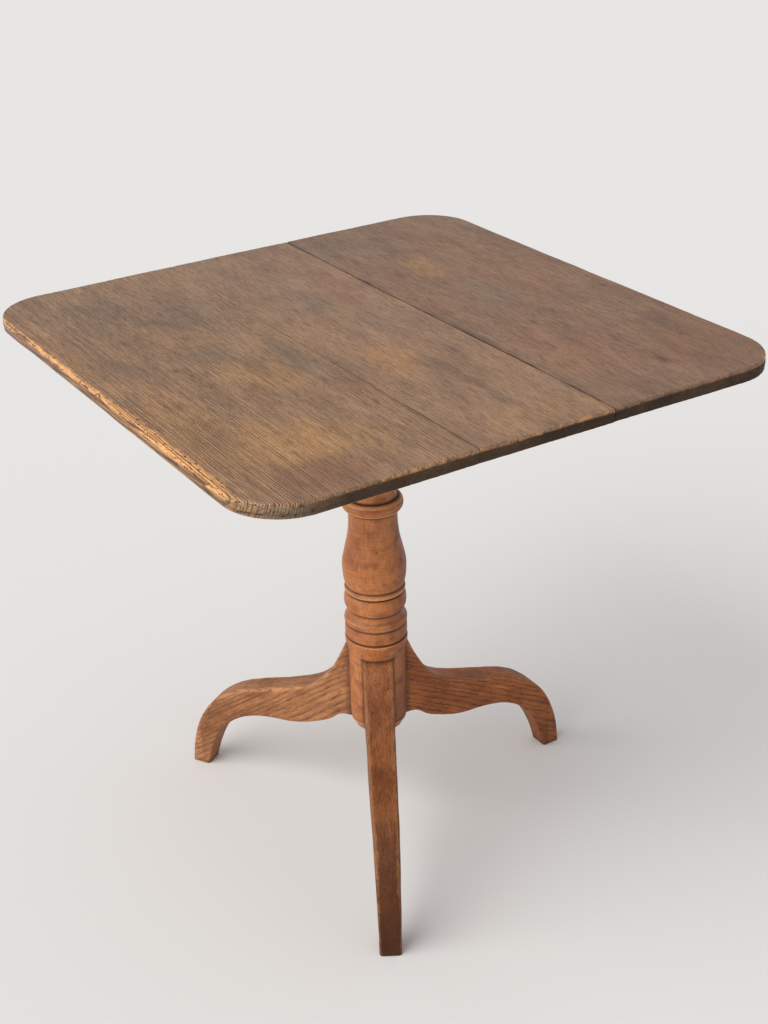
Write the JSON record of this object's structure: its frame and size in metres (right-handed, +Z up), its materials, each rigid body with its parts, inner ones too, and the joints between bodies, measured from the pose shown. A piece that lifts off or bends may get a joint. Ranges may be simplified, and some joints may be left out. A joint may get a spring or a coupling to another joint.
{
  "type": "tilt top table",
  "caption": "Square oak table with rounded corners; its boarded top tilts upright on a hinge block over a turned column with curved legs, held level by turn buttons.",
  "frame": {"origin": "on the floor under the middle of the top", "axes": "+X across the boards, away from the tilt axis; +Y along the boards' grain, parallel to the tilt axis; +Z up, out of the table top"},
  "size_m": [0.722, 0.741, 0.73],
  "materials": {
    "top_oak": "aged grey-brown oak, worn and waxed, dark open grain",
    "batten_oak": "dry unfinished oak, browned with age",
    "leg_oak": "warm brown oak, rubbed and waxed, dark pores",
    "fruitwood": "turned close-grained wood, orange-brown, satin wax",
    "iron": "dull darkened iron"
  },
  "bodies": {
    "base": {"column": "fruitwood", "tenon_wedge": "fruitwood", "hinge_block": "batten_oak", "hinge_pin_front": "leg_oak", "hinge_pin_back": "leg_oak", "leg_right": "leg_oak", "leg_left": "leg_oak", "leg_front": "leg_oak"},
    "top": {"top_board_left": "top_oak", "top_board_middle": "top_oak", "top_board_right": "top_oak", "top_tongue_left": "batten_oak", "top_tongue_right": "batten_oak", "batten_front": "batten_oak", "batten_back": "batten_oak", "batten_screw_01": "iron", "batten_screw_02": "iron", "batten_screw_03": "iron", "batten_screw_04": "iron", "batten_screw_05": "iron", "batten_screw_06": "iron", "batten_screw_07": "iron", "batten_screw_08": "iron", "batten_screw_09": "iron", "batten_screw_10": "iron", "batten_screw_11": "iron", "batten_screw_12": "iron", "button_screw_front": "iron", "button_screw_back": "iron"},
    "button_front": {"turn_button_front": "batten_oak"},
    "button_back": {"turn_button_back": "batten_oak"}
  },
  "joints": [
    {"name": "top_tilt", "type": "hinge", "parent": "base", "child": "top", "pos_m": [-0.085, -0.0077, 0.69085], "axis": [0, -1, 0], "range_deg": [0, 90]},
    {"name": "button_front_turn", "type": "hinge", "parent": "top", "child": "button_front", "pos_m": [0.073, -0.0835, 0.6654], "axis": [0, 0, 1], "range_deg": [0, 90]},
    {"name": "button_back_turn", "type": "hinge", "parent": "top", "child": "button_back", "pos_m": [0.073, 0.0681, 0.6654], "axis": [0, 0, -1], "range_deg": [0, 90]}
  ]
}
